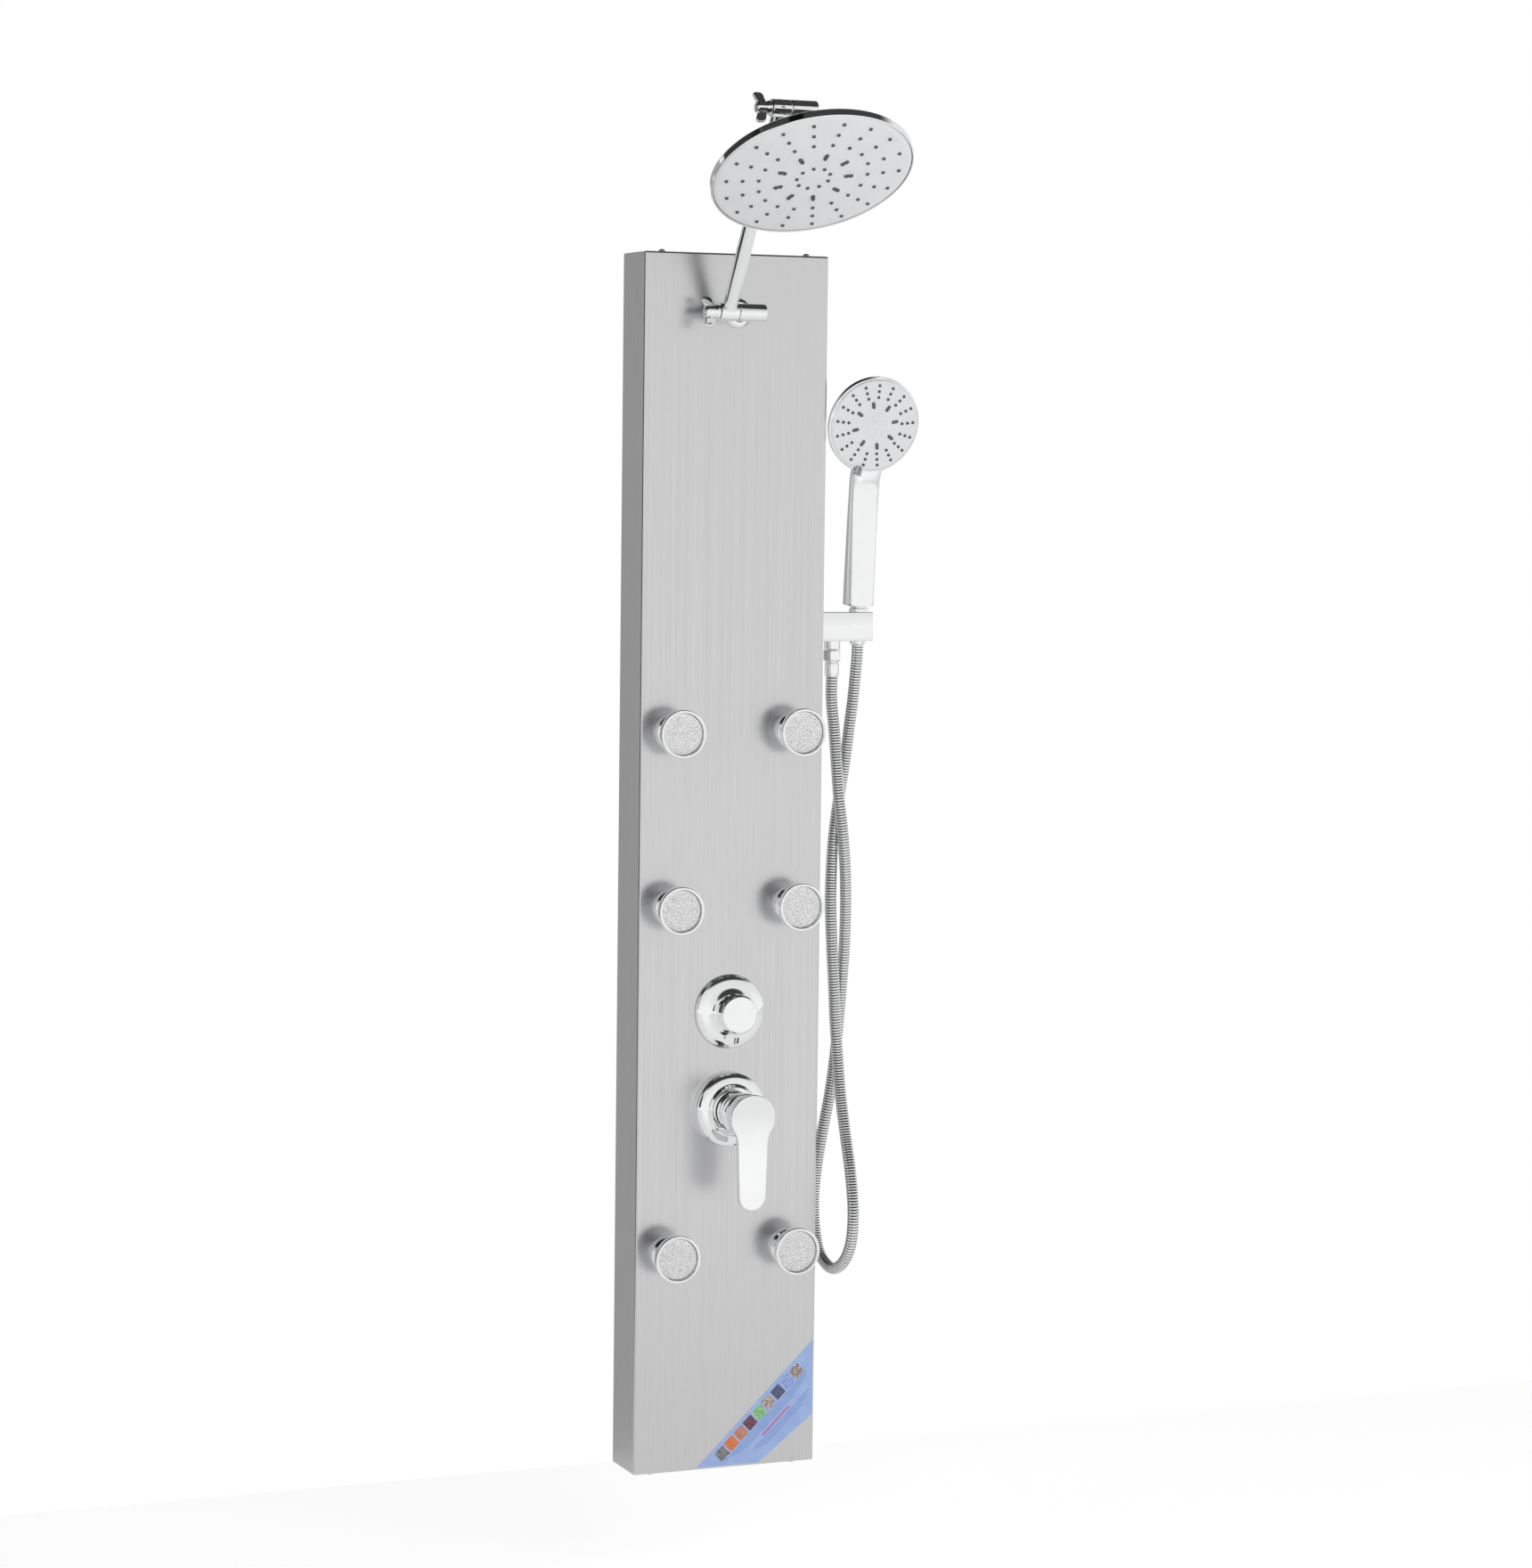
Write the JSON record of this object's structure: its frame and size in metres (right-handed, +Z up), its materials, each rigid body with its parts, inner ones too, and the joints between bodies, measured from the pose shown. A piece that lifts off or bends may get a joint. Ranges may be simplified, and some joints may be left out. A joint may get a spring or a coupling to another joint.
{
  "type": "rainfall shower column",
  "caption": "Steel wall shower panel with a rain head on a folding arm, hand shower with hose, swivelling body jets, lever mixer and rotary diverter.",
  "frame": {"origin": "centre line of the panel where the upper wall bracket's back face meets the wall, 1340 mm above the panel's bottom edge", "axes": "+Z up, +X to the right of someone facing the panel, the room at -Y and the wall at +Y"},
  "size_m": [0.3375, 0.3793, 1.5666],
  "materials": {
    "brushed_steel": "vertical brushed grain",
    "galvanised_steel": "dull galvanised",
    "chrome": "bright polished chrome plate",
    "brass": "as machined",
    "zinc_screw": "bright zinc plate",
    "spray_face": "satin silver-white plastic",
    "silicone": "soft grey silicone",
    "selector_grey": "grey plastic",
    "nylon": "natural nylon",
    "hose_steel": "corrugated double-lock steel",
    "supply_tube": "translucent white tube",
    "jet_rubber": "pale grey rubber spray plate",
    "label_film": "printed film label, plain coloured squares and bars only"
  },
  "bodies": {
    "root": {"panel_casing": "brushed_steel", "upper_wall_bracket": "galvanised_steel", "lower_wall_bracket": "galvanised_steel", "casing_screw_left": "zinc_screw", "casing_screw_right": "zinc_screw", "arm_outlet": "chrome", "arm_flange": "chrome", "arm_backnut": "brass", "lower_joint_bolt": "zinc_screw", "holder_block": "chrome", "hose_outlet_nut": "chrome", "shower_hose": "hose_steel", "mixer_escutcheon": "chrome", "mixer_sleeve": "chrome", "mixer_valve_body": "brass", "mixer_cartridge": "nylon", "diverter_escutcheon": "chrome", "diverter_valve_body": "brass", "mixer_link_tube": "supply_tube", "jet_feed_tube": "supply_tube", "riser_tube": "supply_tube", "handset_feed_tube": "supply_tube", "jet_loop_tube": "supply_tube", "jet_socket_1": "chrome", "jet_socket_2": "chrome", "jet_socket_3": "chrome", "jet_socket_4": "chrome", "jet_socket_5": "chrome", "jet_socket_6": "chrome"},
    "arm": {"swing_arm": "chrome", "upper_joint_bolt": "zinc_screw"},
    "lower_wing_nut": {"lower_wing_nut": "chrome"},
    "upper_wing_nut": {"upper_wing_nut": "chrome"},
    "head_neck": {"head_neck": "chrome"},
    "head_ball_seat": {"head_ball_seat": "nylon"},
    "rain_head": {"head_ball_nut": "chrome", "rain_head_shell": "chrome", "rain_head_face": "spray_face", "rain_head_nozzle_mat": "silicone"},
    "hose_cone": {"hose_cone_nut": "chrome"},
    "handset": {"handset_shell": "chrome"},
    "handset_face": {"handset_face": "spray_face", "handset_selector": "selector_grey"},
    "mixer_carrier": {"mixer_carrier": "nylon"},
    "mixer_lever": {"mixer_lever": "chrome", "mixer_stem": "zinc_screw"},
    "diverter": {"diverter_knob": "chrome", "diverter_stem": "brass"},
    "jet_1_seat": {"jet_seat_1": "nylon"},
    "jet_1_head": {"jet_head_1": "chrome"},
    "jet_2_seat": {"jet_seat_2": "nylon"},
    "jet_2_head": {"jet_head_2": "chrome"},
    "jet_3_seat": {"jet_seat_3": "nylon"},
    "jet_3_head": {"jet_head_3": "chrome"},
    "jet_4_seat": {"jet_seat_4": "nylon"},
    "jet_4_head": {"jet_head_4": "chrome"},
    "jet_5_seat": {"jet_seat_5": "nylon"},
    "jet_5_head": {"jet_head_5": "chrome"},
    "jet_6_seat": {"jet_seat_6": "nylon"},
    "jet_6_head": {"jet_head_6": "chrome"}
  },
  "joints": [
    {"name": "arm_swing", "type": "hinge", "parent": "root", "child": "arm", "pos_m": [0, -0.101, -0.0075], "axis": [1, 0, 0], "range_deg": [-25, 70]},
    {"name": "lower_wing_nut_turn", "type": "hinge", "parent": "root", "child": "lower_wing_nut", "pos_m": [0, -0.101, -0.0075], "axis": [-1, 0, 0], "range_deg": [0, 180]},
    {"name": "upper_wing_nut_turn", "type": "hinge", "parent": "arm", "child": "upper_wing_nut", "pos_m": [0, -0.24488, 0.20906], "axis": [-1, 0, 0], "range_deg": [0, 180]},
    {"name": "head_pitch", "type": "hinge", "parent": "arm", "child": "head_neck", "pos_m": [0, -0.24488, 0.20906], "axis": [1, 0, 0], "range_deg": [-80, 0]},
    {"name": "head_nod", "type": "hinge", "parent": "head_neck", "child": "head_ball_seat", "pos_m": [0, -0.26237, 0.16978], "axis": [1, 0, 0], "range_deg": [-15, 0]},
    {"name": "head_roll", "type": "hinge", "parent": "head_ball_seat", "child": "rain_head", "pos_m": [0, -0.26237, 0.16978], "axis": [0, -0.8616, 0.5075], "range_deg": [-10, 10]},
    {"name": "handset_lift", "type": "slide", "parent": "root", "child": "hose_cone", "axis": [0, -0.0698, 0.9976], "range_m": [0, 0.08]},
    {"name": "handset_turn", "type": "hinge", "parent": "hose_cone", "child": "handset", "pos_m": [0.17, -0.038, -0.3647], "axis": [0, -0.0698, 0.9976], "range_deg": [0, 75]},
    {"name": "spray_select", "type": "hinge", "parent": "handset", "child": "handset_face", "pos_m": [0.17, -0.07634, -0.13181], "axis": [0, -0.9659, -0.2588], "range_deg": [0, 50]},
    {"name": "lever_turn", "type": "hinge", "parent": "root", "child": "mixer_carrier", "pos_m": [0, -0.1, -0.919], "axis": [0, -1, 0], "range_deg": [-45, 45]},
    {"name": "lever_lift", "type": "hinge", "parent": "mixer_carrier", "child": "mixer_lever", "pos_m": [0, -0.1, -0.919], "axis": [-1, 0, 0], "range_deg": [0, 20]},
    {"name": "diverter_turn", "type": "hinge", "parent": "root", "child": "diverter", "pos_m": [0, -0.07, -0.806], "axis": [0, -1, 0], "range_deg": [-60, 60]},
    {"name": "jet_1_pan", "type": "hinge", "parent": "root", "child": "jet_1_seat", "pos_m": [-0.074, -0.086, -0.483], "axis": [0, 0, 1], "range_deg": [-15, 15]},
    {"name": "jet_1_tilt", "type": "hinge", "parent": "jet_1_seat", "child": "jet_1_head", "pos_m": [-0.074, -0.086, -0.483], "axis": [1, 0, 0], "range_deg": [-15, 15]},
    {"name": "jet_2_pan", "type": "hinge", "parent": "root", "child": "jet_2_seat", "pos_m": [0.074, -0.086, -0.483], "axis": [0, 0, 1], "range_deg": [-15, 15]},
    {"name": "jet_2_tilt", "type": "hinge", "parent": "jet_2_seat", "child": "jet_2_head", "pos_m": [0.074, -0.086, -0.483], "axis": [1, 0, 0], "range_deg": [-15, 15]},
    {"name": "jet_3_pan", "type": "hinge", "parent": "root", "child": "jet_3_seat", "pos_m": [-0.074, -0.086, -0.684], "axis": [0, 0, 1], "range_deg": [-15, 15]},
    {"name": "jet_3_tilt", "type": "hinge", "parent": "jet_3_seat", "child": "jet_3_head", "pos_m": [-0.074, -0.086, -0.684], "axis": [1, 0, 0], "range_deg": [-15, 15]},
    {"name": "jet_4_pan", "type": "hinge", "parent": "root", "child": "jet_4_seat", "pos_m": [0.074, -0.086, -0.684], "axis": [0, 0, 1], "range_deg": [-15, 15]},
    {"name": "jet_4_tilt", "type": "hinge", "parent": "jet_4_seat", "child": "jet_4_head", "pos_m": [0.074, -0.086, -0.684], "axis": [1, 0, 0], "range_deg": [-15, 15]},
    {"name": "jet_5_pan", "type": "hinge", "parent": "root", "child": "jet_5_seat", "pos_m": [-0.074, -0.086, -1.084], "axis": [0, 0, 1], "range_deg": [-15, 15]},
    {"name": "jet_5_tilt", "type": "hinge", "parent": "jet_5_seat", "child": "jet_5_head", "pos_m": [-0.074, -0.086, -1.084], "axis": [1, 0, 0], "range_deg": [-15, 15]},
    {"name": "jet_6_pan", "type": "hinge", "parent": "root", "child": "jet_6_seat", "pos_m": [0.074, -0.086, -1.084], "axis": [0, 0, 1], "range_deg": [-15, 15]},
    {"name": "jet_6_tilt", "type": "hinge", "parent": "jet_6_seat", "child": "jet_6_head", "pos_m": [0.074, -0.086, -1.084], "axis": [1, 0, 0], "range_deg": [-15, 15]}
  ]
}
